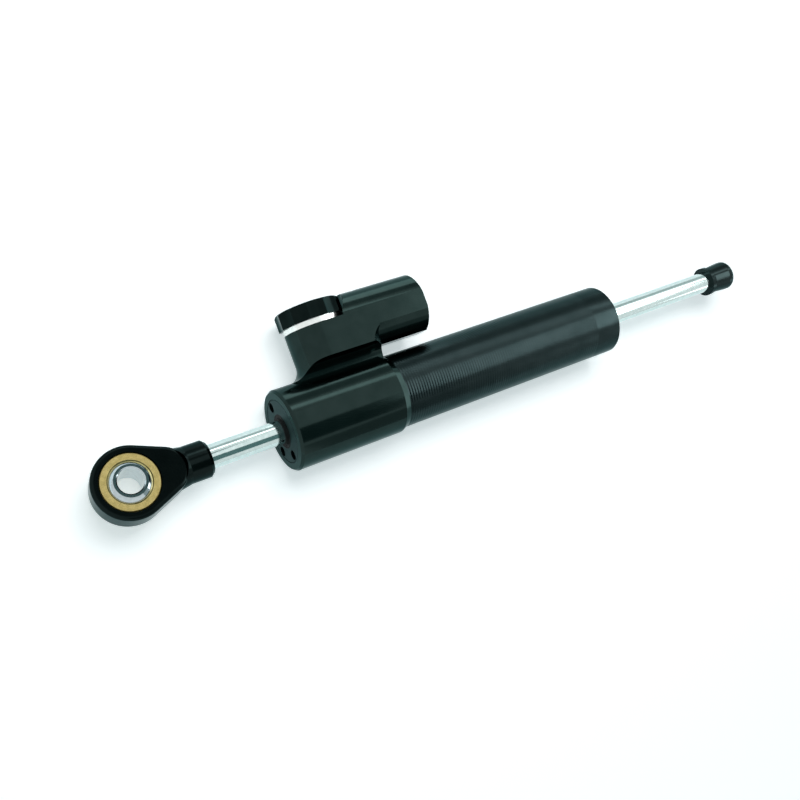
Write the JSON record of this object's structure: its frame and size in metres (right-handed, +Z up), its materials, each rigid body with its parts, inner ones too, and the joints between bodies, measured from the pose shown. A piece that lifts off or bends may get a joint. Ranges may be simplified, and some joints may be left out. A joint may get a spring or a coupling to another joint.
{
  "type": "steering damper",
  "caption": "Motorcycle steering damper with a through rod, a spherical rod eye, a gas reservoir and an adjuster knob.",
  "frame": {"origin": "centre of the clamp seat, on the axis of the outer tube, halfway along the tube's exposed length", "axes": "+X along the rod from the rod eye to its free end, +Y from the tube's axis to the adjuster knob, +Z up as the damper lies on its side"},
  "size_m": [0.2662, 0.051, 0.0274],
  "materials": {
    "block_black": "black anodised, glossy",
    "tube_black": "black anodised over fine turning marks",
    "gland_black": "black anodised, satin",
    "knob_black": "black anodised, glossy",
    "eye_black": "black anodised, glossy",
    "cap_black": "glossy black",
    "index_silver": "bright clear anodised",
    "race_brass": "finely turned",
    "ball_steel": "polished",
    "rod_chrome": "hard chrome, polished",
    "bare_steel": "bare",
    "bush_bronze": "bare bearing bronze",
    "piston_alloy": "hard anodised, natural",
    "seal_rubber": "black nitrile rubber",
    "ring_polymer": "filled polymer"
  },
  "bodies": {
    "damper_body": {"main_block": "block_black", "outer_tube": "tube_black", "inner_cylinder": "bare_steel", "front_gland": "gland_black", "rear_gland": "gland_black", "front_guide_bush": "bush_bronze", "rear_guide_bush": "bush_bronze", "front_rod_seal": "seal_rubber", "rear_rod_seal": "seal_rubber", "front_wiper": "seal_rubber", "rear_wiper": "seal_rubber", "front_gland_o_ring": "seal_rubber", "rear_gland_o_ring": "seal_rubber", "valve_seat": "bare_steel", "index_ring": "index_silver", "reservoir_plug": "gland_black", "plug_o_ring": "seal_rubber", "plug_circlip": "bare_steel", "fill_screw": "bare_steel"},
    "piston_body": {"piston": "piston_alloy", "piston_ring": "ring_polymer"},
    "rod_body": {"piston_rod": "rod_chrome", "piston_circlips": "bare_steel", "eye_housing": "eye_black", "bearing_race": "race_brass", "rod_end_cap": "cap_black"},
    "ball_body": {"bearing_ball": "ball_steel"},
    "knob_body": {"adjuster_knob": "knob_black", "knob_spindle": "bare_steel", "knob_screw": "bare_steel"},
    "needle_body": {"adjuster_needle": "bare_steel", "needle_o_ring": "seal_rubber"},
    "compensator_body": {"compensator_piston": "piston_alloy", "compensator_o_ring": "seal_rubber"}
  },
  "joints": [
    {"name": "rod_slide", "type": "slide", "parent": "damper_body", "child": "piston_body", "axis": [1, 0, 0], "range_m": [-0.0531, 0.0219]},
    {"name": "rod_spin", "type": "hinge", "parent": "piston_body", "child": "rod_body", "pos_m": [-0.006, 0, 0], "axis": [1, 0, 0], "continuous": true},
    {"name": "ball_tilt", "type": "hinge", "parent": "rod_body", "child": "ball_body", "pos_m": [-0.139, 0, 0], "axis": [0, 0.9816, -0.1908], "range_deg": [-13, 13]},
    {"name": "knob_turn", "type": "hinge", "parent": "damper_body", "child": "knob_body", "pos_m": [-0.065, 0.029, 0], "axis": [0, 1, 0], "range_deg": [-180, 180]},
    {"name": "needle_feed", "type": "slide", "parent": "knob_body", "child": "needle_body", "axis": [0, 1, 0], "range_m": [-0.0005, 0.0005]},
    {"name": "compensator_slide", "type": "slide", "parent": "damper_body", "child": "compensator_body", "axis": [1, 0, 0], "range_m": [-0.003, 0.003]}
  ],
  "couplings": [
    {"joint": "needle_feed", "follows": "knob_turn", "m_per_rad": 0.00015915}
  ]
}
